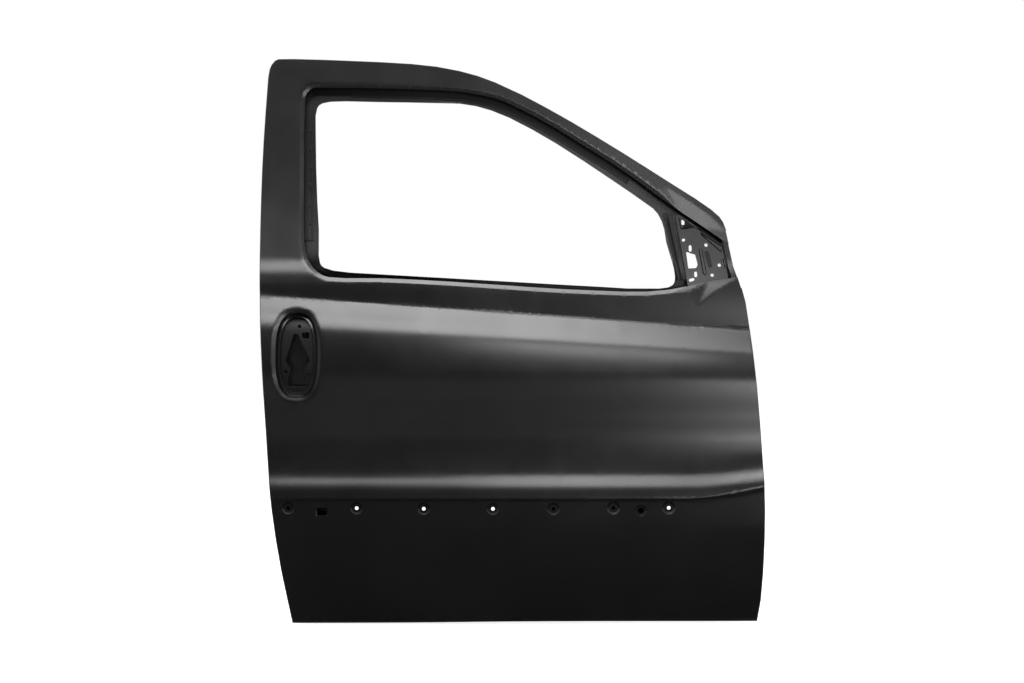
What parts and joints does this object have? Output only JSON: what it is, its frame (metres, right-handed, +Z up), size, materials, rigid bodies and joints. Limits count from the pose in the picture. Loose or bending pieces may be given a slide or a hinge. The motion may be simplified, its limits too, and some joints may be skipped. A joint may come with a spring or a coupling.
{
  "type": "car door shell",
  "caption": "Bare pressed-steel front door shell with an integral window frame, mirror corner and pull-handle cup, in black electro-coat.",
  "frame": {"origin": "centre of the upper hinge's flat mounting face, midway between its two bolt holes", "axes": "+X forward, out of the hinge face towards the body pillar; +Y inward, into the cabin; +Z up as the door hangs"},
  "size_m": [1.1714, 0.1869, 1.3171],
  "materials": {
    "black_primer": "black electro-coat primer, satin",
    "primed_steel": "black electro-coat on hidden steel, a little duller",
    "zinc_nut": "zinc-plated weld nut",
    "mastic": "matte anti-flutter mastic"
  },
  "bodies": {
    "root": {"outer_panel": "black_primer", "inner_panel": "black_primer", "mirror_plate": "black_primer", "glass_channel_header": "primed_steel", "glass_channel_rear": "primed_steel", "division_bar": "primed_steel", "mirror_reinforcement": "primed_steel", "handle_reinforcement": "primed_steel", "belt_reinforcement_outer": "primed_steel", "belt_reinforcement_inner": "primed_steel", "glass_guide_rear": "primed_steel", "glass_guide_front": "primed_steel", "hinge_reinforcement_lower": "primed_steel", "hinge_reinforcement_upper": "primed_steel", "check_reinforcement": "primed_steel", "latch_reinforcement": "primed_steel", "side_impact_beam": "primed_steel", "beam_bracket_rear": "primed_steel", "beam_bracket_front": "primed_steel", "rail_bracket_rear": "primed_steel", "rail_bracket_front": "primed_steel", "weld_nut_hinge_lower_1": "zinc_nut", "weld_nut_hinge_lower_2": "zinc_nut", "weld_nut_hinge_upper_1": "zinc_nut", "weld_nut_hinge_upper_2": "zinc_nut", "weld_nut_latch_1": "zinc_nut", "weld_nut_latch_2": "zinc_nut", "weld_nut_latch_3": "zinc_nut", "weld_nut_mirror_1": "zinc_nut", "weld_nut_mirror_2": "zinc_nut", "weld_nut_mirror_3": "zinc_nut", "mastic_pad_1": "mastic", "mastic_pad_2": "mastic", "mastic_pad_3": "mastic"}
  },
  "joints": []
}
